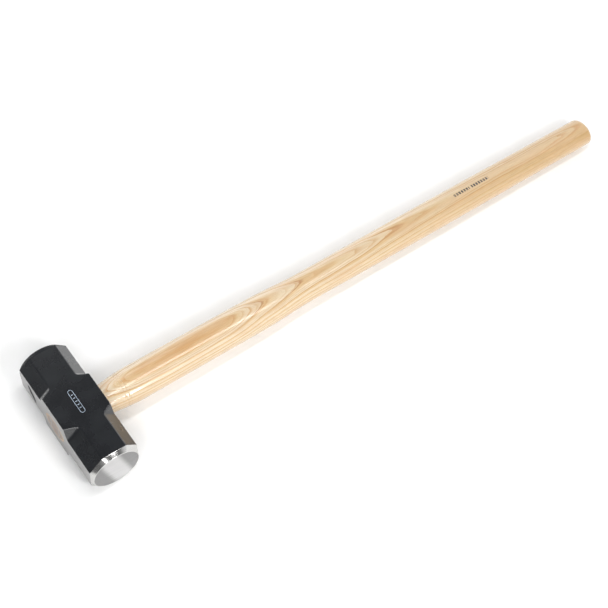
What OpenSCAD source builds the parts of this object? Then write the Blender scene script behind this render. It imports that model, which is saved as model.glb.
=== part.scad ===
// Long-handled sledgehammer, lying on one cheek.
// Millimetres. X runs along the handle towards the grip, Y is the line of the blow and Z is up.
// The origin is the middle of the lower cheek, under the centre of the head.

/* [Head] */
// Width of the head across its flats
head_w = 64; // [58:1:68]
// From the middle of the head to the corners where the chamfer starts
rim_y = 82; // [74:1:84]
// From the middle of the head to the edge of the striking face
face_y = 88; // [87:1:96]
// Radius of the striking face inside its chamfer
face_r = 30.5; // [26:0.5:31]
// How far the middle of each striking face stands proud of its edge
crown_rise = 1.4; // [0.6:0.1:3]
// Leg of the large bevel along each corner, measured on the flat
bevel_leg = 14; // [11:0.5:16]
// Half length of the square eye block, measured along its sharp corner
block_y = 25; // [22:0.5:27]
// Where the run-out of a bevel reaches its full depth
runout_y = 32; // [30:0.5:40]
// Radius of the hollow between the run-out and the bevel
runout_r = 5; // [2:0.5:7]

/* [Eye] */
// Length of the oval eye at the top of the head, along the blow
eye_top_l = 42; // [40:0.5:44]
// Length of the eye at its narrow waist
eye_waist_l = 38; // [35:0.5:39]
// Length of the eye where the handle enters
eye_foot_l = 40.5; // [39:0.5:42]
// Distance of the waist from the middle of the head, towards the grip
eye_waist_x = 8; // [0:1:16]
// Height of the oval eye and handle as a part of their width
oval = 0.77; // [0.72:0.01:0.85]

/* [Handle] */
// Overall length, from the top of the head to the end of the grip
overall_l = 890; // [880:10:1000]
// Width of the handle along the blow at its thick shoulder
shoulder_w = 48.5; // [44:0.5:52]
// Where the shoulder reaches its full width, from the middle of the head
shoulder_x = 76; // [64:1:100]
// Where the shoulder starts to fall away to the grip
shoulder_end_x = 250; // [200:5:280]
// Width at the waist between the shoulder and the grip
waist_w = 42.5; // [38:0.5:44]
// Where that waist lies, from the middle of the head
waist_x = 345; // [310:5:380]
// Width of the slight swell in the middle of the grip
swell_w = 44.5; // [40:0.5:46]
// Where the swell lies, from the middle of the head
swell_x = 540; // [450:5:600]
// Width of the grip just before its rounded end
grip_w = 43; // [36:0.5:44]
// Length of the rounding at the end of the grip
end_round = 9; // [8:1:20]
// Gap between the tongue and the wall of the eye
tongue_gap = 0.1; // [0.05:0.05:0.3]

/* [Wedges] */
// How deep the wooden wedge reaches from the top of the head
wood_wedge_l = 44; // [36:1:50]
// Thickness of the wooden wedge at the top of the head
wood_wedge_t = 4.5; // [3:0.5:7]
// How deep the steel wedges reach
steel_wedge_l = 26; // [16:1:32]
// Thickness of a steel wedge at the top of the head
steel_wedge_t = 3; // [2:0.5:4]
// Width of a steel wedge, across the kerf
steel_wedge_w = 20; // [14:1:21]
// Distance of each steel wedge from the middle of the eye
steel_wedge_y = 9; // [7:0.5:10]

/* [Hidden] */

round_fn = 96;          // sides of a drawn circle
oval_sides = 40;        // sides of the handle's oval
half_w = head_w / 2;
wedge_tip_t = 0.8;      // a driven wedge is blunt at its tip
spare = 2;              // how far a cutting tool runs past the surface that it cuts

// The head in section: a square bar, its corners cut back by the bevels.
corner_u = half_w * sqrt(2);
bevel_u = corner_u - bevel_leg / sqrt(2);
rim_r = norm([half_w, half_w - bevel_leg]);

// The chamfer is a cone through the rim's corners and the edge of the striking face.
function chamfer_r(y) = face_r + (face_y - y) * (rim_r - face_r) / (face_y - rim_y);
crown_r = (face_r ^ 2 + crown_rise ^ 2) / (2 * crown_rise);

// Half the length of the eye at a distance x from the middle of the head.
function eye_r(x) = lookup(x, [
    [-half_w, eye_top_l / 2],
    [eye_waist_x, eye_waist_l / 2],
    [half_w, eye_foot_l / 2]
]);

// The handle's half width, as stations joined by smooth steps.
end_x = overall_l - half_w;
stations = [
    [half_w, eye_foot_l / 2 - tongue_gap],
    [shoulder_x, shoulder_w / 2],
    [shoulder_end_x, shoulder_w / 2],
    [waist_x, waist_w / 2],
    [swell_x, swell_w / 2],
    [end_x - end_round, grip_w / 2]
];
station_steps = 6;      // straight steps between two stations
end_steps = 7;          // straight steps round the end of the grip
end_sweep = 76;         // degrees of the rounding before it meets the flat middle of the end
end_power = 2.4;        // 2 would be an ellipse, more is squarer

function smooth(u) = u * u * (3 - 2 * u);
function between(a, b, u) = [a[0] + (b[0] - a[0]) * u, a[1] + (b[1] - a[1]) * smooth(u)];
tongue_line = [for (x = [-half_w, eye_waist_x, half_w]) [x, eye_r(x) - tongue_gap]];
shaft_line = [
    for (i = [0 : len(stations) - 2], k = [1 : station_steps])
        between(stations[i], stations[i + 1], k / station_steps)
];
function end_reach(a) = (sin(a) / sin(end_sweep)) ^ (2 / end_power);
end_line = [
    for (k = [1 : end_steps])
        let (a = end_sweep * k / end_steps)
        [end_x - end_round + end_round * end_reach(a), grip_w / 2 * cos(a) ^ (2 / end_power)]
];

// An oval body on the handle's axis, from a line of [distance along the handle, half width].
module oval_body(line) {
    n = oval_sides;
    last = len(line) - 1;
    points = [
        for (p = line, k = [0 : n - 1])
            let (a = 360 * k / n)
            [p[0], p[1] * cos(a), half_w + oval * p[1] * sin(a)]
    ];
    skin = [
        for (i = [0 : last - 1], k = [0 : n - 1])
            let (a = i * n + k, b = i * n + (k + 1) % n)
            each [[a, a + n, b], [b, a + n, b + n]]
    ];
    near_cap = [for (k = [0 : n - 1]) k];
    far_cap = [for (k = [n - 1 : -1 : 0]) last * n + k];
    polyhedron(points, concat([near_cap, far_cap], skin));
}

// A wedge's long section: thick at the top of the head, blunt at its tip.
module wedge_outline(l, t) {
    polygon([
        [-half_w, -t / 2],
        [-half_w + l, -wedge_tip_t / 2],
        [-half_w + l, wedge_tip_t / 2],
        [-half_w, t / 2]
    ]);
}

// ---- head ----

module bar_blank() {
    translate([0, 0, half_w])
        cube([head_w, 4 * face_y, head_w], center = true);
}

module turned_ends() {
    tip_y = face_y + 2 * crown_rise;
    wide_y = rim_y - bevel_leg;
    translate([0, 0, half_w])
        rotate([90, 0, 0])
            rotate_extrude($fn = round_fn)
                polygon([
                    [0, -tip_y],
                    [chamfer_r(tip_y), -tip_y],
                    [chamfer_r(wide_y), -wide_y],
                    [chamfer_r(wide_y), wide_y],
                    [chamfer_r(tip_y), tip_y],
                    [0, tip_y]
                ]);
}

module crown(side) {
    translate([0, side * (face_y + crown_rise - crown_r), half_w])
        sphere(r = crown_r, $fn = round_fn);
}

// Side view of what one bevel takes away: the flat, a hollow and the sloping run-out.
module bevel_outline() {
    slope = atan2(corner_u - bevel_u, runout_y - block_y);
    tangent = runout_r * tan(slope / 2);
    hollow_steps = 5;
    polygon(concat(
        [[block_y - spare / tan(slope), corner_u + spare]],
        [
            for (k = [hollow_steps : -1 : 0])
                let (a = -90 - slope * k / hollow_steps)
                [runout_y + tangent + runout_r * cos(a), bevel_u + runout_r + runout_r * sin(a)]
        ],
        [[2 * face_y, bevel_u], [2 * face_y, corner_u + spare]]
    ));
}

module bevel_cuts() {
    translate([0, 0, half_w])
        for (corner = [45 : 90 : 315], far = [0, 1])
            rotate([0, corner, 0])
                rotate([0, 0, 90])
                    linear_extrude(bevel_leg * sqrt(2) + spare, center = true)
                        mirror([far, 0])
                            bevel_outline();
}

// The eye narrows to its waist from both sides, so the wedged tongue can't slip either way.
module eye() {
    flare = spare * (eye_top_l - eye_waist_l) / 2 / (half_w + eye_waist_x);
    translate([0, 0, half_w])
        scale([1, 1, oval])
            rotate([0, 90, 0])
                rotate_extrude($fn = round_fn)
                    polygon([
                        [0, -half_w - spare],
                        [eye_top_l / 2 + flare, -half_w - spare],
                        [eye_waist_l / 2, eye_waist_x],
                        [eye_foot_l / 2, half_w],
                        [eye_foot_l / 2, half_w + spare],
                        [0, half_w + spare]
                    ]);
}

module head() {
    color("#2c3034")
        difference() {
            intersection() {
                bar_blank();
                turned_ends();
                crown(-1);
                crown(1);
            }
            bevel_cuts();
            eye();
        }
}

// ---- wedges ----

module wood_wedge_blank() {
    translate([0, 0, half_w])
        rotate([90, 0, 0])
            linear_extrude(eye_top_l + spare, center = true)
                wedge_outline(wood_wedge_l, wood_wedge_t);
}

module steel_wedge_blank(side) {
    translate([0, side * steel_wedge_y, half_w])
        linear_extrude(steel_wedge_w, center = true)
            wedge_outline(steel_wedge_l, steel_wedge_t);
}

module wood_wedge() {
    color("#c9a877")
        difference() {
            intersection() {
                wood_wedge_blank();
                oval_body(tongue_line);
            }
            steel_wedge_blank(-1);
            steel_wedge_blank(1);
        }
}

module steel_wedge_front() {
    color("#8d8f92")
        steel_wedge_blank(-1);
}

module steel_wedge_back() {
    color("#8d8f92")
        steel_wedge_blank(1);
}

// ---- handle ----

module handle() {
    color("#e6c99b")
        difference() {
            oval_body(concat(tongue_line, shaft_line, end_line));
            wood_wedge_blank();
            steel_wedge_blank(-1);
            steel_wedge_blank(1);
        }
}

head();
handle();
wood_wedge();
steel_wedge_front();
steel_wedge_back();
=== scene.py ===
import math

import bmesh
import bpy
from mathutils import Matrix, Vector


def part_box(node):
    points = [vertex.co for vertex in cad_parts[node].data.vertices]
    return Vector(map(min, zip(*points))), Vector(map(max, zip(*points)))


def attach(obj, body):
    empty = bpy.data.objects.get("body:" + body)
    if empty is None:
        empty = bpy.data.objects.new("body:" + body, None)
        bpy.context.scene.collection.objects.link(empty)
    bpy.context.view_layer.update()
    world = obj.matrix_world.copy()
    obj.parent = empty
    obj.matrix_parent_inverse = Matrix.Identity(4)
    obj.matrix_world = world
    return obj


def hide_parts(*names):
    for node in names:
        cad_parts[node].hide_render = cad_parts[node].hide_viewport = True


# Long-handled sledgehammer, lying on one cheek. Metres, X along the handle to the grip,
# Y the line of the blow, Z up.

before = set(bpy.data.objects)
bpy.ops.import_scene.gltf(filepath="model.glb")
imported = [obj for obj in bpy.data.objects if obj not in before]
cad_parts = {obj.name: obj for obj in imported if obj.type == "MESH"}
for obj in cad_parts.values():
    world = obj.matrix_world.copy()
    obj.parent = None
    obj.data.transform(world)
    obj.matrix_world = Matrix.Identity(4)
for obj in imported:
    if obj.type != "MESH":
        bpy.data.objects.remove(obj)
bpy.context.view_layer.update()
headLow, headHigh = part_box("head")
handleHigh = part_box("handle")[1]
midZ = (headLow.z + headHigh.z) / 2        # height of the handle's axis
halfWidth = (headHigh.x - headLow.x) / 2
nearly = 0.0001                            # places this close count as the same
print("frame loaded")


def deselectAll():
    bpy.ops.object.select_all(action="DESELECT")


def makeActive(piece):
    deselectAll()
    piece.select_set(True)
    bpy.context.view_layer.objects.active = piece


def pickParts(piece, kind, test):
    # selects the vertices, edges or faces that pass the test, in edit mode
    bpy.ops.mesh.select_mode(type=kind)
    bpy.ops.mesh.select_all(action="DESELECT")
    shape = bmesh.from_edit_mesh(piece.data)
    parts = {"VERT": shape.verts, "EDGE": shape.edges, "FACE": shape.faces}[kind]
    found = 0
    for part in parts:
        if test(part):
            part.select_set(True)
            found += 1
    shape.select_flush_mode()
    bmesh.update_edit_mesh(piece.data)
    return found


def middleOf(part):
    total = part.verts[0].co.copy()
    for corner in part.verts[1:]:
        total += corner.co
    return total / len(part.verts)


def placeIntoMesh(piece):
    makeActive(piece)
    bpy.ops.object.transform_apply(location=True, rotation=True, scale=True)


def cutAway(piece, cutter):
    makeActive(piece)
    cut = piece.modifiers.new("cut", "BOOLEAN")
    cut.object = cutter
    cut.operation = "DIFFERENCE"
    cut.solver = "EXACT"
    bpy.ops.object.modifier_apply(modifier=cut.name)
    bpy.data.objects.remove(cutter)


def joinPieces(pieces):
    deselectAll()
    for piece in pieces:
        piece.select_set(True)
    bpy.context.view_layer.objects.active = pieces[0]
    bpy.ops.object.join()
    return bpy.context.view_layer.objects.active


def finishShape(piece, name, sharpAngle):
    piece.name = name
    piece.data.name = name
    makeActive(piece)
    bpy.ops.object.shade_smooth_by_angle(angle=math.radians(sharpAngle))
    evenOut = piece.modifiers.new("evenOut", "WEIGHTED_NORMAL")
    evenOut.keep_sharp = True
    bpy.ops.object.modifier_apply(modifier=evenOut.name)


def hexColour(code):
    # sRGB hex to linear
    parts = [int(code[k:k + 2], 16) / 255 for k in (1, 3, 5)]
    return [p / 12.92 if p <= 0.04045 else ((p + 0.055) / 1.055) ** 2.4 for p in parts] + [1]


def addNode(tree, kind, links=None, **settings):
    # adds one node; a link is an output socket or a plain value for the input of that name or number
    node = tree.nodes.new(kind)
    for name, value in settings.items():
        if name == "stops":                  # of a colour ramp: place and hex colour
            marks = node.color_ramp.elements
            while len(marks) < len(value):
                marks.new(0.5)
            for mark, (place, code) in zip(marks, value):
                mark.position = place
                mark.color = hexColour(code)
        elif name == "points":               # of a curve: places from 0 to 1
            curve = node.mapping.curves[0]
            while len(curve.points) < len(value):
                curve.points.new(0.5, 0.5)
            for point, place in zip(curve.points, value):
                point.location = place
            node.mapping.update()
        else:
            setattr(node, name, value)
    for name, value in (links or {}).items():
        if isinstance(value, bpy.types.NodeSocket):
            tree.links.new(value, node.inputs[name])
        else:
            node.inputs[name].default_value = value
    return node


headSpec = {
    "rimY": 0.082,            # corners where the polished band starts
    "faceY": 0.088,           # edge of the striking face
    "faceRadius": 0.0305,
    "crownRise": 0.0014,
    "crownRings": 8,
    "bevelLeg": 0.014,        # of the large bevel, along the flat
    "wideBevelLeg": 0.0175,   # the front bevel beside the handle is ground a little wider
    "blockY": 0.025,          # half length of the square block at its corner
    "runoutY": 0.032,         # where the run-out is at full depth
    "hollowRadius": 0.005,
    "edgeRadius": 0.0022,     # forged edges
    "runoutEdge": 0.5,        # shares of that radius
    "handleSideEdge": 0.5,
    "topEdge": 0.22,
    "rimRound": 0.0004, "faceRound": 0.0005,   # both edges of the polished band
    "foldAngle": 12,          # degrees, above which an edge is rounded
    "runoutTail": 0.003,      # how far the tighter edges go on past the run-out
    "flatOver": 0.012,        # edges of the end longer than this are its flats
    "flatCuts": 15,           # in each flat, before the octagon is drawn in to a circle
    "cutterDeep": 0.014, "cutterEnd": 0.11,
    "spare": 0.002,           # how far a cutter runs past the surface
    "eyeTop": 0.021,
    "eyeWaist": 0.019,
    "eyeFoot": 0.02025,
    "waistX": 0.008,
    "oval": 0.77,
}


def makeBevelCutter(spec, cornerTurn, far, leg):
    # one corner's bevel with its hollow run-out, made over the top of the bar and then turned to its corner
    cornerU = halfWidth * math.sqrt(2)
    flatU = cornerU - leg / math.sqrt(2)
    deep = spec["cutterDeep"]
    slope = math.atan2(cornerU - flatU, spec["runoutY"] - spec["blockY"])
    reach = spec["cutterEnd"] - spec["runoutY"]
    width = leg * math.sqrt(2) + 2 * spec["spare"]
    bpy.ops.mesh.primitive_cube_add(
        size=1,
        location=(0, far * (spec["runoutY"] + reach / 2), midZ + flatU + deep / 2),
        scale=(width, reach, deep),
    )
    cutter = bpy.context.active_object
    placeIntoMesh(cutter)
    bpy.ops.object.mode_set(mode="EDIT")
    pickParts(
        cutter, "VERT",
        lambda v: abs(v.co.y) < spec["runoutY"] + nearly and v.co.z > midZ + flatU + nearly,
    )
    bpy.ops.transform.translate(value=(0, -far * deep / math.tan(slope), 0))
    pickParts(
        cutter, "EDGE",
        lambda e: all(
            abs(abs(v.co.y) - spec["runoutY"]) < nearly and v.co.z < midZ + flatU + nearly for v in e.verts
        ),
    )
    bpy.ops.mesh.bevel(offset=spec["hollowRadius"] * math.tan(slope / 2), segments=6, affect="EDGES")
    bpy.ops.mesh.select_all(action="SELECT")
    bpy.ops.transform.rotate(
        value=math.radians(cornerTurn), orient_axis="Y", center_override=(0, 0, midZ)
    )
    bpy.ops.object.mode_set(mode="OBJECT")
    return cutter


def roundForging(head, spec):
    # forged edges: soft along the cheeks, tighter at the run-outs, crisp round the ground top
    bpy.ops.object.mode_set(mode="EDIT")

    def folded(edge):
        return len(edge.link_faces) == 2 and edge.calc_face_angle_signed() > math.radians(spec["foldAngle"])

    def onTop(edge):
        return all(v.co.x < headLow.x + nearly for v in edge.verts)

    def atEnd(edge):
        return all(abs(v.co.y) > spec["rimY"] - nearly for v in edge.verts)

    def atRunout(edge):
        return spec["blockY"] - nearly < abs(middleOf(edge).y) < spec["runoutY"] + spec["runoutTail"]

    def forged(edge):
        return folded(edge) and not atEnd(edge) and not onTop(edge)

    # each weight is added to what the edge already has
    for weight, test in (
        (spec["handleSideEdge"], lambda e: forged(e) and not atRunout(e)),
        (1 - spec["handleSideEdge"], lambda e: forged(e) and not atRunout(e) and middleOf(e).x < 0.001),
        (spec["runoutEdge"], lambda e: forged(e) and atRunout(e)),
        (spec["topEdge"], lambda e: folded(e) and not atEnd(e) and onTop(e)),
    ):
        pickParts(head, "EDGE", test)
        bpy.ops.transform.edge_bevelweight(value=weight)
    bpy.ops.object.mode_set(mode="OBJECT")
    soften = head.modifiers.new("soften", "BEVEL")
    soften.limit_method = "WEIGHT"
    soften.width = spec["edgeRadius"]
    soften.segments = 4
    soften.use_clamp_overlap = False
    bpy.ops.object.modifier_apply(modifier=soften.name)


def shapeEnds(head, spec):
    # each end: the octagon is drawn in to a round face, then crowned
    crownRadius = (spec["faceRadius"] ** 2 + spec["crownRise"] ** 2) / (2 * spec["crownRise"])
    bpy.ops.object.mode_set(mode="EDIT")
    for far in (-1, 1):
        pickParts(
            head, "FACE",
            lambda f: f.normal.y * far > 0.99 and middleOf(f).y * far > spec["rimY"] - nearly,
        )
        bpy.ops.mesh.delete(type="ONLY_FACE")
        pickParts(
            head, "EDGE",
            lambda e: e.is_boundary and middleOf(e).y * far > 0 and e.calc_length() > spec["flatOver"],
        )
        bpy.ops.mesh.subdivide(number_cuts=spec["flatCuts"])
        pickParts(head, "EDGE", lambda e: e.is_boundary and middleOf(e).y * far > 0)
        bpy.ops.mesh.extrude_region_move(
            TRANSFORM_OT_translate={"value": (0, far * (spec["faceY"] - spec["rimY"]), 0)}
        )
        bpy.ops.transform.tosphere(value=1)
        shape = bmesh.from_edit_mesh(head.data)
        ring = [v for v in shape.verts if v.select]
        radius = math.hypot(ring[0].co.x, ring[0].co.z - midZ)
        factor = spec["faceRadius"] / radius
        bpy.ops.transform.resize(value=(factor, 1, factor), center_override=(0, 0, midZ))
        lastRadius, lastY = spec["faceRadius"], spec["faceY"]
        for step in range(1, spec["crownRings"]):
            radius = spec["faceRadius"] * (1 - step / spec["crownRings"])
            sag = crownRadius - math.sqrt(crownRadius ** 2 - radius ** 2)
            y = spec["faceY"] + spec["crownRise"] - sag
            bpy.ops.mesh.extrude_region_move(TRANSFORM_OT_translate={"value": (0, far * (y - lastY), 0)})
            factor = radius / lastRadius
            bpy.ops.transform.resize(value=(factor, 1, factor), center_override=(0, 0, midZ))
            lastRadius, lastY = radius, y
        bpy.ops.mesh.extrude_region_move(
            TRANSFORM_OT_translate={"value": (0, far * (spec["faceY"] + spec["crownRise"] - lastY), 0)}
        )
        bpy.ops.mesh.merge(type="CENTER")

    # narrow rounds at both edges of the polished band
    for far in (-1, 1):
        for y, width in ((spec["rimY"], spec["rimRound"]), (spec["faceY"], spec["faceRound"])):
            pickParts(head, "EDGE", lambda e: all(abs(v.co.y * far - y) < nearly / 10 for v in e.verts))
            bpy.ops.mesh.bevel(offset=width, segments=2, affect="EDGES", clamp_overlap=False)
    bpy.ops.mesh.select_all(action="SELECT")
    bpy.ops.mesh.normals_make_consistent(inside=False)
    bpy.ops.object.mode_set(mode="OBJECT")


def cutEye(head, spec):
    # the eye narrows to its waist from both sides
    bpy.ops.mesh.primitive_cylinder_add(
        vertices=96, radius=spec["eyeWaist"], depth=2 * (halfWidth + spec["spare"]),
        location=(0, 0, midZ), rotation=(0, math.radians(90), 0),
    )
    eye = bpy.context.active_object
    placeIntoMesh(eye)
    bpy.ops.object.mode_set(mode="EDIT")
    bpy.ops.mesh.select_all(action="SELECT")
    bpy.ops.mesh.bisect(plane_co=(spec["waistX"], 0, 0), plane_no=(1, 0, 0))
    for side, mouth in ((-1, spec["eyeTop"]), (1, spec["eyeFoot"])):
        run = abs(side * halfWidth - spec["waistX"])
        radius = mouth + (mouth - spec["eyeWaist"]) * spec["spare"] / run
        factor = radius / spec["eyeWaist"]
        pickParts(eye, "VERT", lambda v: v.co.x * side > halfWidth)
        bpy.ops.transform.resize(value=(1, factor, factor), center_override=(0, 0, midZ))
    bpy.ops.mesh.select_all(action="SELECT")
    bpy.ops.transform.resize(value=(1, 1, spec["oval"]), center_override=(0, 0, midZ))
    bpy.ops.object.mode_set(mode="OBJECT")
    cutAway(head, eye)


def makeHead(spec):
    bpy.ops.mesh.primitive_cube_add(
        size=1, location=(0, 0, midZ), scale=(2 * halfWidth, 2 * spec["rimY"], 2 * halfWidth)
    )
    head = bpy.context.active_object
    placeIntoMesh(head)
    cutters = []
    for turn in (45, 135, 225, 315):
        for far in (-1, 1):
            leg = spec["wideBevelLeg"] if (turn, far) == (45, -1) else spec["bevelLeg"]
            cutters.append(makeBevelCutter(spec, turn, far, leg))
    cutAway(head, joinPieces(cutters))
    roundForging(head, spec)
    shapeEnds(head, spec)
    cutEye(head, spec)
    return head


head = makeHead(headSpec)
finishShape(head, "hammerHead", 35)
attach(head, "root")
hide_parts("head")
print("head", len(head.data.polygons), "faces")


handleSpec = {
    "sides": 96,
    "oval": 0.77,
    "tongueGap": 0.0001,
    # distance from the middle of the head, and half width along the blow
    "line": [
        (0.032, 0.0203), (0.040, 0.0210), (0.047, 0.0218), (0.053, 0.0227), (0.060, 0.0234),
        (0.072, 0.0242), (0.090, 0.0243), (0.228, 0.0243), (0.250, 0.0243), (0.270, 0.02415),
        (0.283, 0.0236), (0.297, 0.0230), (0.311, 0.0222), (0.326, 0.0216), (0.340, 0.02135),
        (0.360, 0.0214), (0.398, 0.02165), (0.458, 0.0220), (0.535, 0.0224), (0.632, 0.0222),
        (0.733, 0.0218), (0.839, 0.0215),
    ],
    "stepLength": 0.006,
    "endRound": 0.009,
    "endPower": 2.5,
    "endSteps": 14,
    "endSweep": 82,           # degrees of the rounding before the flat middle of the end
    "ringPlaces": (0.0575, 0.062),   # two fine turned rings behind the head
    "ringDepth": 0.00044,
    "ringWidth": 0.0013,
}


def halfWidthAt(x, line):
    # a smooth curve through the stations
    if x <= line[0][0]:
        return line[0][1]
    for k in range(len(line) - 1):
        x0, w0 = line[k]
        x1, w1 = line[k + 1]
        if x <= x1:
            before = line[k - 1] if k > 0 else (2 * x0 - x1, 2 * w0 - w1)
            after = line[k + 2] if k + 2 < len(line) else (2 * x1 - x0, 2 * w1 - w0)
            m0 = (w1 - before[1]) / (x1 - before[0]) * (x1 - x0)
            m1 = (after[1] - w0) / (after[0] - x0) * (x1 - x0)
            u = (x - x0) / (x1 - x0)
            return (
                (2 * u ** 3 - 3 * u ** 2 + 1) * w0 + (u ** 3 - 2 * u ** 2 + u) * m0
                + (-2 * u ** 3 + 3 * u ** 2) * w1 + (u ** 3 - u ** 2) * m1
            )
    return line[-1][1]


def makeHandle(spec):
    # the tongue follows the eye
    gap = spec["tongueGap"]
    rings = [
        (-halfWidth, headSpec["eyeTop"] - gap),
        (headSpec["waistX"], headSpec["eyeWaist"] - gap),
        (halfWidth, headSpec["eyeFoot"] - gap),
    ]
    endStart = handleHigh.x - spec["endRound"]
    steps = math.ceil((endStart - halfWidth) / spec["stepLength"])
    places = [halfWidth + spec["stepLength"] * k for k in range(1, steps)]
    places = [x for x in places if x < endStart - 0.001]
    # finer steps across each turned ring
    for place in spec["ringPlaces"]:
        places = [x for x in places if abs(x - place) > spec["ringWidth"] * 0.9]
        places += [place + spec["ringWidth"] * k / 6 for k in range(-4, 5)]
    for x in sorted(places):
        groove = sum(
            spec["ringDepth"] * max(0, 1 - (2 * (x - place) / spec["ringWidth"]) ** 2)
            for place in spec["ringPlaces"]
        )
        rings.append((x, halfWidthAt(x, spec["line"]) - groove))
    endWidth = halfWidthAt(endStart, spec["line"])
    sweep = math.radians(spec["endSweep"])
    bend = 2 / spec["endPower"]
    for k in range(spec["endSteps"] + 1):
        turn = sweep * k / spec["endSteps"]
        reach = (math.sin(turn) / math.sin(sweep)) ** bend
        rings.append((endStart + spec["endRound"] * reach, endWidth * math.cos(turn) ** bend))

    bpy.ops.mesh.primitive_circle_add(
        vertices=spec["sides"], radius=rings[0][1], fill_type="NGON",
        location=(rings[0][0], 0, midZ), rotation=(0, math.radians(90), 0),
    )
    handle = bpy.context.active_object
    placeIntoMesh(handle)
    bpy.ops.object.mode_set(mode="EDIT")
    bpy.ops.mesh.select_all(action="SELECT")
    bpy.ops.transform.resize(value=(1, 1, spec["oval"]), center_override=(0, 0, midZ))
    lastX, lastWidth = rings[0]
    for x, width in rings[1:]:
        bpy.ops.mesh.extrude_region_move(TRANSFORM_OT_translate={"value": (x - lastX, 0, 0)})
        factor = width / lastWidth
        bpy.ops.transform.resize(value=(1, factor, factor), center_override=(0, 0, midZ))
        lastX, lastWidth = x, width
    bpy.ops.mesh.select_all(action="SELECT")
    bpy.ops.mesh.normals_make_consistent(inside=False)
    bpy.ops.object.mode_set(mode="OBJECT")
    return handle


handle = makeHandle(handleSpec)
finishShape(handle, "hammerHandle", 50)
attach(handle, "root")
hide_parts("handle")
print("handle", len(handle.data.polygons), "faces")


wedgeSpec = {
    "woodLength": 0.044, "woodThick": 0.0045, "woodWide": 0.0411, "kerfWide": 0.050,
    "steelLength": 0.026, "steelThick": 0.003, "steelWide": 0.020,
    "steelY": 0.009,
    "tipThick": 0.0008,
    "gap": 0.00006,           # shows as a fine dark line round each wedge
    "burr": 0.0003,           # rounding of a driven wedge's edges
    "proud": 0.001,           # how far a cutter stands out of the eye
}


def makeWedgeBlank(length, thick, wide, y, acrossY, proud):
    # a tapered block at the top of the eye; acrossY says along which way it is thick
    top = headLow.x - proud
    size = (length + proud, thick, wide) if acrossY else (length + proud, wide, thick)
    bpy.ops.mesh.primitive_cube_add(size=1, location=(top + size[0] / 2, y, midZ), scale=size)
    blank = bpy.context.active_object
    placeIntoMesh(blank)
    shrink = wedgeSpec["tipThick"] / thick
    bpy.ops.object.mode_set(mode="EDIT")
    pickParts(blank, "VERT", lambda v: v.co.x > top + length / 2)
    factors = (1, shrink, 1) if acrossY else (1, 1, shrink)
    bpy.ops.transform.resize(value=factors, center_override=(0, y, midZ))
    bpy.ops.object.mode_set(mode="OBJECT")
    return blank


def makeWedges(spec):
    wood = makeWedgeBlank(spec["woodLength"], spec["woodThick"], spec["woodWide"], 0, False, 0)
    gap = 2 * spec["gap"]
    steels = []
    for side, name in ((-1, "steelWedgeFront"), (1, "steelWedgeBack")):
        y = side * spec["steelY"]
        slot = makeWedgeBlank(
            spec["steelLength"], spec["steelThick"] + gap, spec["steelWide"] + gap, y, True, spec["proud"]
        )
        cutAway(wood, slot)
        steel = makeWedgeBlank(spec["steelLength"], spec["steelThick"], spec["steelWide"], y, True, 0)
        makeActive(steel)
        bpy.ops.object.mode_set(mode="EDIT")
        bpy.ops.mesh.select_all(action="SELECT")
        bpy.ops.mesh.bevel(offset=spec["burr"], segments=2, affect="EDGES")
        bpy.ops.object.mode_set(mode="OBJECT")
        steel.name = name
        steels.append(steel)
    wood.name = "woodWedge"
    return wood, steels


def cutKerf(spec):
    gap = 2 * spec["gap"]
    thick, wide = spec["woodThick"] + gap, spec["kerfWide"]
    cutAway(handle, makeWedgeBlank(spec["woodLength"], thick, wide, 0, False, spec["proud"]))
    thick, wide = spec["steelThick"] + gap, spec["steelWide"] + gap
    for side in (-1, 1):
        y = side * spec["steelY"]
        cutAway(handle, makeWedgeBlank(spec["steelLength"], thick, wide, y, True, spec["proud"]))


woodWedge, steelWedges = makeWedges(wedgeSpec)
cutKerf(wedgeSpec)
for wedge, node, slot in (
    (woodWedge, "wood_wedge", "wedge_wood"),
    (steelWedges[0], "steel_wedge_front", "wedge_steel"),
    (steelWedges[1], "steel_wedge_back", "wedge_steel"),
):
    finishShape(wedge, wedge.name, 35)
    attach(wedge, "root")
    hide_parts(node)
print("wedges")


markSpec = {
    "length": 0.035, "height": 0.0062, "line": 0.00055,
    "corner": 0.0028,
    "bars": 5, "barWide": 0.0009, "barPitch": 0.0050, "barTall": 0.0028,
    "lift": 0.00004,          # printed ink, a little proud of the paint
    "ink": "#b4c2d2", "thinInk": "#8c99a8", "inkSpeck": 1.5,   # mm
}


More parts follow.
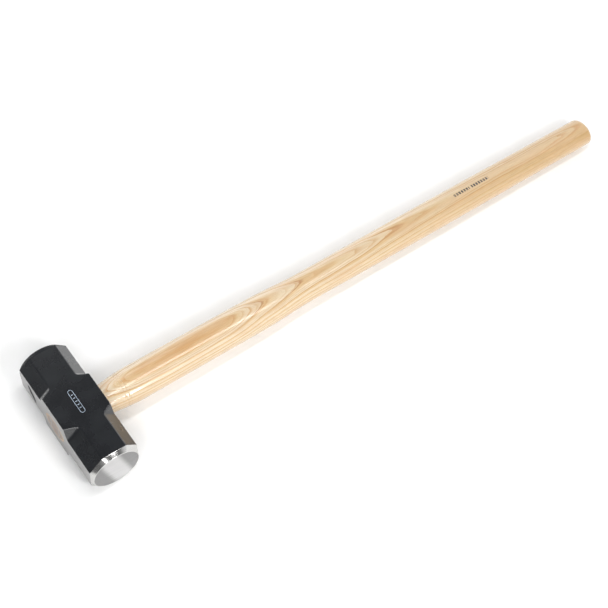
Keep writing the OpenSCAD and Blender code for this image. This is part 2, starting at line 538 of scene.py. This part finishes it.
def makeCheekMark(spec):
    # a plain printed outline with a row of bars in it
    top = headHigh.z + spec["lift"]
    bpy.ops.mesh.primitive_plane_add(size=1, location=(0, 0, top))
    outline = bpy.context.active_object
    outline.scale = (spec["height"], spec["length"], 1)
    placeIntoMesh(outline)
    bpy.ops.object.mode_set(mode="EDIT")
    bpy.ops.mesh.select_all(action="SELECT")
    bpy.ops.mesh.bevel(offset=spec["corner"], segments=6, affect="VERTICES")
    bpy.ops.mesh.select_all(action="SELECT")
    bpy.ops.mesh.inset(thickness=spec["line"], depth=0)
    bpy.ops.mesh.delete(type="FACE")
    bpy.ops.object.mode_set(mode="OBJECT")
    parts = [outline]
    for k in range(spec["bars"]):
        y = (k - (spec["bars"] - 1) / 2) * spec["barPitch"]
        bpy.ops.mesh.primitive_plane_add(size=1, location=(0, y, top))
        bar = bpy.context.active_object
        bar.scale = (spec["barTall"], spec["barWide"], 1)
        placeIntoMesh(bar)
        bpy.ops.object.mode_set(mode="EDIT")
        bpy.ops.mesh.select_all(action="SELECT")
        bpy.ops.mesh.bevel(offset=spec["barWide"] * 0.45, segments=3, affect="VERTICES")
        bpy.ops.object.mode_set(mode="OBJECT")
        parts.append(bar)
    mark = joinPieces(parts)
    bpy.ops.object.mode_set(mode="EDIT")
    bpy.ops.mesh.select_all(action="SELECT")
    bpy.ops.mesh.extrude_region_move(TRANSFORM_OT_translate={"value": (0, 0, -spec["lift"] * 1.5)})
    bpy.ops.mesh.select_all(action="SELECT")
    bpy.ops.mesh.normals_make_consistent(inside=False)
    bpy.ops.object.mode_set(mode="OBJECT")
    mark.name = "cheekMark"
    mark.data.name = "cheekMark"
    return mark


cheekMark = makeCheekMark(markSpec)
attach(cheekMark, "root")
print("cheek mark")


def startMaterial(name):
    material = bpy.data.materials.new(name)
    material.use_nodes = True
    tree = material.node_tree
    return material, tree, tree.nodes["Principled BSDF"]


def objectPlace(tree, stretch):
    # millimetres from the middle of the head, each way multiplied by stretch
    place = addNode(tree, "ShaderNodeTexCoord").outputs["Object"]
    centred = addNode(
        tree, "ShaderNodeVectorMath", {0: place, 1: (0, 0, midZ)}, operation="SUBTRACT"
    ).outputs[0]
    scaled = addNode(
        tree, "ShaderNodeVectorMath", {0: centred, 1: [1000 * s for s in stretch]}, operation="MULTIPLY"
    )
    return scaled.outputs[0]


paintSpec = {
    "colour": "#0b0e13", "hazeColour": "#101419",
    "rough": 0.27, "coatRough": 0.13, "coat": 1.0,
    "rearGloss": 0.45,        # the rear end is rubbed dull and has no clear shine
    "hazeSize": 26,           # mm, cloudy patches in the sprayed coat
    "peelSize": 0.9,          # mm, orange peel, coarser than the real 0.4 so it shows
    "peelHeight": 0.000003,
}


def makeSatinPaint(name, spec, gloss):
    # Satin black enamel sprayed on forged steel: near black, a soft mirror of the room,
    # faint clouds and orange peel
    material, tree, shader = startMaterial(name)
    haze = objectPlace(tree, [1 / spec["hazeSize"]] * 3)
    cloud = addNode(tree, "ShaderNodeTexNoise", {"Vector": haze, "Scale": 1, "Detail": 4}).outputs[0]
    tint = addNode(
        tree, "ShaderNodeValToRGB", {"Fac": cloud},
        stops=[(0.38, spec["colour"]), (0.68, spec["hazeColour"])],
    )
    rough = spec["rough"] / gloss
    dull = addNode(
        tree, "ShaderNodeMapRange",
        {"Value": cloud, "From Min": 0.35, "From Max": 0.7, "To Min": rough - 0.02, "To Max": rough + 0.04},
    )
    peelPlace = objectPlace(tree, [1 / spec["peelSize"]] * 3)
    peel = addNode(tree, "ShaderNodeTexNoise", {"Vector": peelPlace, "Scale": 1, "Detail": 2})
    bump = addNode(
        tree, "ShaderNodeBump", {"Height": peel.outputs[0], "Distance": spec["peelHeight"], "Strength": 1}
    )
    tree.links.new(tint.outputs[0], shader.inputs["Base Color"])
    tree.links.new(dull.outputs[0], shader.inputs["Roughness"])
    tree.links.new(bump.outputs[0], shader.inputs["Normal"])
    shader.inputs["Specular IOR Level"].default_value = 0.5 * gloss
    shader.inputs["Coat Weight"].default_value = spec["coat"] if gloss == 1 else 0
    shader.inputs["Coat Roughness"].default_value = spec["coatRough"]
    return material


steelSpec = {
    # run is the axis that the brush lines follow, and lineHeight is in metres
    "band": {"colour": "#cfcecc", "rough": 0.20, "spread": 0.004, "lineHeight": 0, "run": 0},
    "face": {"colour": "#cecdcd", "rough": 0.33, "spread": 0.06, "lineHeight": 0.000006, "run": 0},
    "top": {"colour": "#a09f9f", "rough": 0.34, "spread": 0.06, "lineHeight": 0.000006, "run": 1},
    # mm across and along the brush lines, and their detail; the real pitch of 0.1 is too fine to show
    "scratches": (0.5, 40, 4), "smears": (2.6, 60, 2),
    # painted shade: the face's colour dims between two distances from its middle, in mm, for the floor's
    # reflection across the crowned face
    "paintedShadeWay": (1, 0, 0.3), "paintedShadeMiddle": 3.5, "paintedShadeWaver": 5.0,
    "paintedShadeFrom": 8, "paintedShadeTo": 17, "paintedShadeShare": 0.45,
    # where the grinder missed a low spot by the rear end
    "patchPlace": (-0.032, 0.055, 0.032), "patchSize": (1, 0.015, 0.0052), "patchTurn": 57,
    "patchRagged": 4,         # mm
}


def paintedFaceShade(tree, spec, smears):
    # painted reflection and shade: the middle of the face is painted brighter than its two sides, standing
    # in for the floor that the crowned face mirrors
    sideways = addNode(
        tree, "ShaderNodeVectorMath",
        {0: objectPlace(tree, (1, 1, 1)), 1: spec["paintedShadeWay"]}, operation="DOT_PRODUCT",
    ).outputs["Value"]
    drift = addNode(
        tree, "ShaderNodeMath", {0: smears, 1: spec["paintedShadeWaver"], 2: sideways}, operation="MULTIPLY_ADD"
    ).outputs[0]
    off = addNode(
        tree, "ShaderNodeMath", {0: drift, 1: spec["paintedShadeMiddle"]}, operation="SUBTRACT"
    ).outputs[0]
    off = addNode(tree, "ShaderNodeMath", {0: off}, operation="ABSOLUTE").outputs[0]
    return addNode(
        tree, "ShaderNodeMapRange",
        {"Value": off, "From Min": spec["paintedShadeFrom"], "From Max": spec["paintedShadeTo"],
         "To Min": 1.0, "To Max": spec["paintedShadeShare"]},
        interpolation_type="SMOOTHSTEP",
    ).outputs[0]


def paintLeft(tree, spec):
    # a thin patch of paint is left where the grinder passed over a low spot
    place = addNode(tree, "ShaderNodeTexCoord").outputs["Object"]
    centred = addNode(
        tree, "ShaderNodeMapping",
        {"Vector": place, "Location": spec["patchPlace"], "Scale": spec["patchSize"],
         "Rotation": (math.radians(spec["patchTurn"]), 0, 0)},
        vector_type="TEXTURE",
    ).outputs[0]
    reach = addNode(tree, "ShaderNodeVectorMath", {0: centred}, operation="LENGTH").outputs["Value"]
    raggedPlace = objectPlace(tree, [1 / spec["patchRagged"]] * 3)
    ragged = addNode(tree, "ShaderNodeTexNoise", {"Vector": raggedPlace, "Scale": 1, "Detail": 4})
    edge = addNode(
        tree, "ShaderNodeMath", {0: ragged.outputs[0], 1: 1.2, 2: reach}, operation="MULTIPLY_ADD"
    ).outputs[0]
    return addNode(
        tree, "ShaderNodeMapRange",
        {"Value": edge, "From Min": 1.45, "From Max": 1.6, "To Min": 1, "To Max": 0},
    ).outputs[0]


def makeBareSteel(name, spec, part):
    # Ground carbon steel: grey mirror broken up by grit lines that run one way
    finish = spec[part]
    material, tree, shader = startMaterial(name)
    marks = []
    for pitch, length, detail in (spec["scratches"], spec["smears"]):
        stretch = [1 / pitch] * 3
        stretch[finish["run"]] = 1 / length
        place = objectPlace(tree, stretch)
        noise = addNode(tree, "ShaderNodeTexNoise", {"Vector": place, "Scale": 1, "Detail": detail})
        marks.append(noise.outputs[0])
    scratches, smears = marks
    both = addNode(tree, "ShaderNodeMath", {0: scratches, 1: smears}, operation="ADD").outputs[0]
    shade = addNode(
        tree, "ShaderNodeMapRange",
        {"Value": both, "From Min": 0.7, "From Max": 1.3, "To Min": 0.90, "To Max": 1.05},
    ).outputs[0]
    tint = addNode(
        tree, "ShaderNodeVectorMath", {0: hexColour(finish["colour"])[:3], 1: shade}, operation="MULTIPLY"
    ).outputs[0]
    dull = addNode(
        tree, "ShaderNodeMapRange",
        {"Value": scratches, "From Min": 0.3, "From Max": 0.7,
         "To Min": finish["rough"] - finish["spread"], "To Max": finish["rough"] + finish["spread"]},
    ).outputs[0]
    if part == "face":
        # painted shade: the face's colour is darkened towards its two sides
        dim = paintedFaceShade(tree, spec, smears)
        tint = addNode(tree, "ShaderNodeVectorMath", {0: tint, 1: dim}, operation="MULTIPLY").outputs[0]
    if part == "top":
        left = paintLeft(tree, spec)
        tint = addNode(
            tree, "ShaderNodeMix", {"Factor": left, 6: tint, 7: hexColour(paintSpec["colour"])},
            data_type="RGBA",
        ).outputs[2]
        dull = addNode(
            tree, "ShaderNodeMath", {0: left, 1: 0.45, 2: dull}, operation="MULTIPLY_ADD"
        ).outputs[0]
        bare = addNode(tree, "ShaderNodeMath", {0: 1.0, 1: left}, operation="SUBTRACT").outputs[0]
        tree.links.new(bare, shader.inputs["Metallic"])
    else:
        shader.inputs["Metallic"].default_value = 1
    tree.links.new(tint, shader.inputs["Base Color"])
    tree.links.new(dull, shader.inputs["Roughness"])
    if finish["lineHeight"] > 0:
        bump = addNode(
            tree, "ShaderNodeBump", {"Height": scratches, "Distance": finish["lineHeight"], "Strength": 1}
        )
        tree.links.new(bump.outputs[0], shader.inputs["Normal"])
    return material


hickorySpec = {
    "pale": "#ddcbad", "base": "#d7be96", "tan": "#cfae7e", "brown": "#a77342", "fine": "#be8c53",
    "pinkish": "#cfaa82", "broadBrown": "#c79a66", "pore": "#8d6642", "dust": "#8f8788",
    "gripTan": 0.66,          # share of tan that the grip end takes on
    "gripAlong": (200, 868),
    "core": "#b38945", "coreShare": 0.56,
    "coreAlong": (380, 850),
    "heartWay": (0, -0.45, 0.89), "heartWide": (9.0, 18.0),
    "ringWide": 3.6,          # mm of growth in one strong ring
    "ringStart": 13.7,        # mm above the axis of one strong ring line
    "fineWide": 0.95,         # mm, weaker lines between
    "broadFrom": 16.7,        # mm above the axis, where the wide brown growth starts
    "broadEdge": (1.3, 2.8), "broadPatchy": 3.4,
    # how far the growth has dipped, in mm, at a distance in mm from the middle of the head
    "dip": [
        (-32, -0.6), (50, -1.3), (64, -1.3), (84, -0.8), (110, -0.1), (160, 0.0), (200, -0.5),
        (230, -1.8), (250, -3.4), (268, -4.9), (300, -5.8), (340, -6.6), (400, -7.7), (440, -8.8),
        (470, -9.9), (500, -10.6), (530, -11.4), (600, -12.3), (700, -12.5), (790, -12.8),
        (838, -13.7), (868, -14.6),
    ],
    "dipAlong": (-32, 868), "dipRange": (-16.0, 2.0),
    "wander": 1.6, "shiver": 0.5,    # mm, slow and quick waves in the growth
    "lean": 0.05,             # rise of the growth across the handle
    # uneven growth: mm along the fibres, mm across them, detail
    "noises": {
        "slow": (90, 22, 2), "ripple": (16, 2.5, 4), "streak": (24, 1.3, 5), "patchy": (45, 6, 4),
        "fibre": (14, 0.5, 4), "tone": (60, 9, 3), "pore": (3.2, 0.42, 1),
    },
    "rough": 0.42, "coatRough": 0.17, "rawRough": 0.6,
    "fibreHeight": 0.00002,
    "tongueHalf": (21, 16.2),        # mm, half length and half height of the end grain
    # printed blocks, in mm: along the handle, the space between two words, across it
    "stampAlong": (597, 662), "stampGap": (627, 630.6), "stampY": (-1.7, 2.9),
    "stampPitch": 4.5, "stampBlock": 0.68,
    "stampInk": "#3d352f",
}


def woodGrowth(tree, spec, noise, along, across, up):
    # growth is the height of a point above the axis, shifted by how the rings dip and wave
    nearX, farX = spec["dipAlong"]
    deepest, highest = spec["dipRange"]
    share = addNode(
        tree, "ShaderNodeMapRange",
        {"Value": along, "From Min": nearX, "From Max": farX, "To Min": 0, "To Max": 1},
    ).outputs[0]
    dipCurve = addNode(
        tree, "ShaderNodeFloatCurve", {"Value": share},
        points=[
            ((x - nearX) / (farX - nearX), (d - deepest) / (highest - deepest)) for x, d in spec["dip"]
        ],
    ).outputs[0]
    growth = addNode(
        tree, "ShaderNodeMath", {0: across, 1: spec["lean"], 2: up}, operation="MULTIPLY_ADD"
    ).outputs[0]
    for wave, size, lowest in (
        (dipCurve, highest - deepest, deepest),
        (noise["slow"], spec["wander"], -spec["wander"] / 2),
        (noise["ripple"], spec["shiver"], -spec["shiver"] / 2),
    ):
        shift = addNode(
            tree, "ShaderNodeMath", {0: wave, 1: size, 2: lowest}, operation="MULTIPLY_ADD"
        ).outputs[0]
        growth = addNode(tree, "ShaderNodeMath", {0: growth, 1: shift}, operation="ADD").outputs[0]
    return growth


def woodLines(tree, spec, noise, growth):
    # weaker lines, each ring a little different
    fineNumber = addNode(
        tree, "ShaderNodeMath", {0: growth, 1: spec["fineWide"]}, operation="DIVIDE"
    ).outputs[0]
    fine = addNode(tree, "ShaderNodeMath", {0: fineNumber}, operation="FRACT").outputs[0]
    fineWhole = addNode(tree, "ShaderNodeMath", {0: fineNumber}, operation="FLOOR").outputs[0]
    fineLuck = addNode(
        tree, "ShaderNodeTexWhiteNoise", {"W": fineWhole}, noise_dimensions="1D"
    ).outputs["Value"]
    fine = addNode(
        tree, "ShaderNodeMapRange",
        {"Value": fine, "From Min": 0.5, "From Max": 0.97, "To Min": 0, "To Max": 0.9},
    ).outputs[0]
    fine = addNode(tree, "ShaderNodeMath", {0: fine, 1: fineLuck}, operation="MULTIPLY").outputs[0]

    # the wide brown growth on top of the shoulder, broken up and streaky
    broken = addNode(
        tree, "ShaderNodeMath", {0: noise["patchy"], 1: spec["broadPatchy"], 2: growth},
        operation="MULTIPLY_ADD",
    ).outputs[0]
    broad = addNode(
        tree, "ShaderNodeMapRange",
        {"Value": broken, "From Min": spec["broadFrom"] + spec["broadEdge"][0],
         "From Max": spec["broadFrom"] + spec["broadEdge"][1]},
        interpolation_type="SMOOTHSTEP",
    ).outputs[0]
    streaks = addNode(
        tree, "ShaderNodeMapRange",
        {"Value": noise["streak"], "From Min": 0.3, "From Max": 0.65, "To Min": 0.25, "To Max": 1},
    ).outputs[0]
    broad = addNode(tree, "ShaderNodeMath", {0: broad, 1: streaks}, operation="MULTIPLY").outputs[0]
    return fine, broad


def gripTans(tree, spec, place, along):
    # the grip is more tan, and its heart a deeper tan, more so towards its end
    grip = addNode(
        tree, "ShaderNodeMapRange",
        {"Value": along, "From Min": spec["gripAlong"][0], "From Max": spec["gripAlong"][1],
         "To Min": 0, "To Max": spec["gripTan"]},
    ).outputs[0]
    heart = addNode(
        tree, "ShaderNodeVectorMath", {0: place, 1: spec["heartWay"]}, operation="DOT_PRODUCT"
    ).outputs["Value"]
    heart = addNode(tree, "ShaderNodeMath", {0: heart}, operation="ABSOLUTE").outputs[0]
    heart = addNode(
        tree, "ShaderNodeMapRange",
        {"Value": heart, "From Min": spec["heartWide"][0], "From Max": spec["heartWide"][1]},
        interpolation_type="SMOOTHSTEP",
    ).outputs[0]
    core = addNode(
        tree, "ShaderNodeMapRange",
        {"Value": along, "From Min": spec["coreAlong"][0], "From Max": spec["coreAlong"][1],
         "To Min": 0, "To Max": spec["coreShare"]},
    ).outputs[0]
    core = addNode(tree, "ShaderNodeMath", {0: heart, 1: core}, operation="MULTIPLY").outputs[0]
    return grip, core


def dustShare(tree, spec, place):
    # raw end grain rubbed with steel dust, cleaner at its rim
    halfLength, halfHeight = spec["tongueHalf"]
    flat = addNode(
        tree, "ShaderNodeVectorMath", {0: place, 1: (0, 1 / halfLength, 1 / halfHeight)},
        operation="MULTIPLY",
    ).outputs[0]
    reach = addNode(tree, "ShaderNodeVectorMath", {0: flat}, operation="LENGTH").outputs["Value"]
    return addNode(
        tree, "ShaderNodeMapRange",
        {"Value": reach, "From Min": 0.80, "From Max": 0.93, "To Min": 0.78, "To Max": 0.12},
    ).outputs[0]


def stampShare(tree, spec, noise, along, across, up):
    # printed row of plain blocks on the upper side, a little worn
    masks = []
    for way, (low, high) in (
        (along, spec["stampAlong"]), (across, spec["stampY"]), (along, spec["stampGap"])
    ):
        masks.append(addNode(
            tree, "ShaderNodeMath", {0: way, 1: (low + high) / 2, 2: (high - low) / 2},
            operation="COMPARE",
        ).outputs[0])
    # the space between the two words stays bare
    masks[-1] = addNode(tree, "ShaderNodeMath", {0: 1.0, 1: masks[-1]}, operation="SUBTRACT").outputs[0]
    masks.append(addNode(tree, "ShaderNodeMath", {0: up, 1: 0.0}, operation="GREATER_THAN").outputs[0])
    block = addNode(
        tree, "ShaderNodeMath", {0: along, 1: spec["stampPitch"]}, operation="DIVIDE"
    ).outputs[0]
    block = addNode(tree, "ShaderNodeMath", {0: block}, operation="FRACT").outputs[0]
    masks.append(addNode(
        tree, "ShaderNodeMath", {0: block, 1: spec["stampBlock"]}, operation="LESS_THAN"
    ).outputs[0])
    ink = addNode(
        tree, "ShaderNodeMapRange",
        {"Value": noise["ripple"], "From Min": 0.35, "From Max": 0.6, "To Min": 0.70, "To Max": 1.0},
    ).outputs[0]
    for mask in masks:
        ink = addNode(tree, "ShaderNodeMath", {0: ink, 1: mask}, operation="MULTIPLY").outputs[0]
    return ink


def makeHickory(name, spec, greyed):
    # Flat-sawn hickory under glossy lacquer: cream growth with brown lines that close in long
    # arches on top, straight fine grain on the sides, and short dark pores along the fibres
    material, tree, shader = startMaterial(name)
    place = objectPlace(tree, (1, 1, 1))
    parts = addNode(tree, "ShaderNodeSeparateXYZ", {0: place})
    along, across, up = parts.outputs[0], parts.outputs[1], parts.outputs[2]
    noise = {}
    for kind, (length, width, detail) in spec["noises"].items():
        drawnOut = objectPlace(tree, (1 / length, 1 / width, 1 / width))
        noise[kind] = addNode(
            tree, "ShaderNodeTexNoise", {"Vector": drawnOut, "Scale": 1, "Detail": detail}
        ).outputs[0]
    growth = woodGrowth(tree, spec, noise, along, across, up)
    fine, broad = woodLines(tree, spec, noise, growth)
    grip, core = gripTans(tree, spec, place, along)

    # strong rings
    capped = addNode(
        tree, "ShaderNodeMath", {0: growth, 1: spec["broadFrom"]}, operation="MINIMUM"
    ).outputs[0]
    ringNumber = addNode(
        tree, "ShaderNodeMapRange",
        {"Value": capped, "From Min": spec["ringStart"], "From Max": spec["ringStart"] + spec["ringWide"]},
        clamp=False,
    ).outputs[0]
    ring = addNode(tree, "ShaderNodeMath", {0: ringNumber}, operation="FRACT").outputs[0]
    tint = addNode(
        tree, "ShaderNodeValToRGB", {"Fac": ring},
        stops=[(0.0, spec["brown"]), (0.03, spec["pale"]), (0.5, spec["pale"]), (0.74, spec["base"]),
               (0.93, spec["tan"]), (0.985, spec["brown"])],
    ).outputs[0]

    # slow changes of tone, fibres and pores
    tone = addNode(
        tree, "ShaderNodeMapRange",
        {"Value": noise["tone"], "From Min": 0.45, "From Max": 0.75, "To Min": 0, "To Max": 0.6},
    ).outputs[0]
    fibreShade = addNode(
        tree, "ShaderNodeMapRange",
        {"Value": noise["fibre"], "From Min": 0.3, "From Max": 0.7, "To Min": 0.87, "To Max": 1.06},
    ).outputs[0]
    pore = addNode(
        tree, "ShaderNodeMapRange",
        {"Value": noise["pore"], "From Min": 0.70, "From Max": 0.76, "To Min": 0, "To Max": 0.45},
    ).outputs[0]

    if greyed:
        last, lastColour = dustShare(tree, spec, place), spec["dust"]
        shader.inputs["Roughness"].default_value = spec["rawRough"]
    else:
        last, lastColour = stampShare(tree, spec, noise, along, across, up), spec["stampInk"]
        shader.inputs["Roughness"].default_value = spec["rough"]
        shader.inputs["Coat Weight"].default_value = 1
        shader.inputs["Coat Roughness"].default_value = spec["coatRough"]

    # each colour is laid over the ones before it, and the fibres shade all but the last two
    for share, colour in (
        (grip, spec["tan"]), (core, spec["core"]), (fine, spec["fine"]), (broad, spec["broadBrown"]),
        (tone, spec["pinkish"]), (pore, spec["pore"]), (last, lastColour),
    ):
        if colour == spec["pore"]:
            tint = addNode(
                tree, "ShaderNodeVectorMath", {0: tint, 1: fibreShade}, operation="MULTIPLY"
            ).outputs[0]
        tint = addNode(
            tree, "ShaderNodeMix", {"Factor": share, 6: tint, 7: hexColour(colour)}, data_type="RGBA"
        ).outputs[2]
    bump = addNode(
        tree, "ShaderNodeBump",
        {"Height": noise["fibre"], "Distance": spec["fibreHeight"], "Strength": 1},
    )
    tree.links.new(tint, shader.inputs["Base Color"])
    tree.links.new(bump.outputs[0], shader.inputs["Normal"])
    return material


def makeMarkInk(spec):
    # Pad-printed pale ink, slightly uneven
    material, tree, shader = startMaterial("paleInk")
    speck = objectPlace(tree, [1 / spec["inkSpeck"]] * 3)
    uneven = addNode(tree, "ShaderNodeTexNoise", {"Vector": speck, "Scale": 1, "Detail": 3})
    tint = addNode(
        tree, "ShaderNodeValToRGB", {"Fac": uneven.outputs[0]},
        stops=[(0.3, spec["thinInk"]), (0.6, spec["ink"])],
    )
    tree.links.new(tint.outputs[0], shader.inputs["Base Color"])
    shader.inputs["Roughness"].default_value = 0.4
    return material


satinPaint = makeSatinPaint("satinPaint", paintSpec, 1)
dullPaint = makeSatinPaint("dullPaint", paintSpec, paintSpec["rearGloss"])
polishedBand = makeBareSteel("polishedBand", steelSpec, "band")
brushedFace = makeBareSteel("brushedFace", steelSpec, "face")
groundTop = makeBareSteel("groundTop", steelSpec, "top")
lacqueredHickory = makeHickory("lacqueredHickory", hickorySpec, False)
groundEndGrain = makeHickory("groundEndGrain", hickorySpec, True)

for piece, finishes in (
    (head, [satinPaint, polishedBand, brushedFace, groundTop, dullPaint]),
    (handle, [lacqueredHickory, groundEndGrain]),
    (woodWedge, [groundEndGrain]),
    (steelWedges[0], [groundTop]),
    (steelWedges[1], [groundTop]),
    (cheekMark, [makeMarkInk(markSpec)]),
):
    piece.data.materials.clear()
    for finish in finishes:
        piece.data.materials.append(finish)

# the head's faces by place: ground top, front face, its band, and the dull rear end
headSlot = {name: k for k, name in enumerate(head.data.materials.keys())}
for face in head.data.polygons:
    y = face.center.y
    if face.normal.x < -0.99 and face.center.x < headLow.x + nearly:
        face.material_index = headSlot["groundTop"]
    elif y < -headSpec["faceY"]:
        face.material_index = headSlot["brushedFace"]
    elif y < -headSpec["rimY"]:
        face.material_index = headSlot["polishedBand"]
    elif y > headSpec["rimY"] - 0.0005:
        face.material_index = headSlot["dullPaint"]

# bare end grain on top of the handle and inside its kerf
kerfEnd = headLow.x + wedgeSpec["woodLength"] + 0.001
for face in handle.data.polygons:
    onEnd = face.center.x < headLow.x + 2 * nearly
    squareOn = max(abs(face.normal.y), abs(face.normal.z)) > 0.99
    if (onEnd or squareOn) and face.center.x < kerfEnd:
        face.material_index = 1
print("materials")


sceneSpec = {
    "floorSize": 14,
    "floorColour": "#f8f8f8", "floorDark": "#f5f5f4",
    "floorSpeck": 30,         # mm
    "gripFrom": 0.7, "roughLean": 0.02,      # where to look for the point that the grip lies on
    "skyFrom": 0.25, "skyTo": 0.88,          # heights between which the sky dims
    "skyLow": 1.05, "skyHigh": 0.10, "skyLeft": 0.16,
    "skyTint": (0.98, 0.99, 1, 1),
    # name, place, aimed at, width, height, watts
    "lights": [
        ("overheadBox", (0.45, 0.0, 2.0), (0.45, 0.0, 0), 1.5, 0.26, 12),
        ("frontBox", (0.36, -1.80, 1.60), (0.25, 0, 0), 0.50, 0.6, 21),
        ("fillBox", (-1.1, -1.4, 2.1), (0.2, 0, 0), 1.6, 1.2, 31),
        ("sideBox", (2.4, 0.3, 1.5), (0.4, 0, 0), 1.8, 1.2, 9),
        ("farFill", (-1.3, 2.3, 1.1), (0.2, 0, 0), 1.6, 1.0, 9),
        ("backBox", (0.5, 2.4, 0.6), (0.4, 0, 0), 3.0, 0.8, 10),
        ("cheekBox", (0.3, 1.75, 1.8), (0, 0, 0), 1.0, 0.7, 4.5),
    ],
    "cameraPlace": (-0.2658, -0.6465, 1.2966),
    "cameraTurn": (33.9126, -4.6607, -36.4234),
    "cameraLens": 69.337,
}


def makeFloor(spec):
    # the hammer lies on the lower edge of its head and on the grip, so the floor leans by about a degree
    lowest = min(
        (v.co for v in handle.data.vertices if v.co.x > spec["gripFrom"]),
        key=lambda p: p.z - p.x * spec["roughLean"],
    )
    lean = math.atan2(lowest.z - headLow.z, lowest.x - headHigh.x)
    bpy.ops.mesh.primitive_grid_add(
        x_subdivisions=2, y_subdivisions=2, size=spec["floorSize"], location=(0, 0, 0)
    )
    floor = bpy.context.active_object
    floor.name = "studioFloor"
    placeIntoMesh(floor)
    bpy.ops.object.mode_set(mode="EDIT")
    bpy.ops.mesh.select_all(action="SELECT")
    bpy.ops.transform.rotate(value=lean, orient_axis="Y", center_override=(headHigh.x, 0, headLow.z))
    bpy.ops.object.mode_set(mode="OBJECT")
    # Matt background paper, faintly mottled
    material, tree, shader = startMaterial("studioPaper")
    speckPlace = objectPlace(tree, [1 / spec["floorSpeck"]] * 3)
    speck = addNode(tree, "ShaderNodeTexNoise", {"Vector": speckPlace, "Scale": 1, "Detail": 3})
    tint = addNode(
        tree, "ShaderNodeValToRGB", {"Fac": speck.outputs[0]},
        stops=[(0.3, spec["floorDark"]), (0.7, spec["floorColour"])],
    )
    tree.links.new(tint.outputs[0], shader.inputs["Base Color"])
    shader.inputs["Roughness"].default_value = 0.8
    floor.data.materials.append(material)


def makeSky(spec):
    # plain studio: brighter near the horizon, dim overhead and to the left
    world = bpy.data.worlds.new("studioSky")
    world.use_nodes = True
    bpy.context.scene.world = world
    tree = world.node_tree
    look = addNode(tree, "ShaderNodeTexCoord").outputs["Generated"]
    ways = addNode(tree, "ShaderNodeSeparateXYZ", {0: look})
    height = addNode(
        tree, "ShaderNodeMapRange",
        {"Value": ways.outputs[2], "From Min": spec["skyFrom"], "From Max": spec["skyTo"],
         "To Min": spec["skyLow"], "To Max": spec["skyHigh"]},
    ).outputs[0]
    left = addNode(
        tree, "ShaderNodeMapRange",
        {"Value": ways.outputs[0], "From Min": -0.3, "From Max": -0.9,
         "To Min": 1, "To Max": spec["skyLeft"]},
    ).outputs[0]
    sky = addNode(tree, "ShaderNodeMath", {0: height, 1: left}, operation="MULTIPLY").outputs[0]
    tree.links.new(sky, tree.nodes["Background"].inputs["Strength"])
    tree.nodes["Background"].inputs["Color"].default_value = spec["skyTint"]


def makeLights(spec):
    for name, place, aim, width, height, watts in spec["lights"]:
        bpy.ops.object.light_add(type="AREA", location=place)
        light = bpy.context.active_object
        light.name = name
        light.data.shape = "RECTANGLE"
        light.data.size = width
        light.data.size_y = height
        light.data.energy = watts
        away = light.location - Vector(aim)
        light.rotation_euler = away.to_track_quat("Z", "Y").to_euler()


def makeCamera(spec):
    bpy.ops.object.camera_add(
        location=spec["cameraPlace"], rotation=[math.radians(a) for a in spec["cameraTurn"]]
    )
    camera = bpy.context.active_object
    camera.data.lens = spec["cameraLens"]
    camera.data.sensor_width = 36
    camera.data.clip_end = 50
    bpy.context.scene.camera = camera
    bpy.context.scene.view_settings.view_transform = "Standard"


makeFloor(sceneSpec)
makeSky(sceneSpec)
makeLights(sceneSpec)
makeCamera(sceneSpec)
print("stage ready")
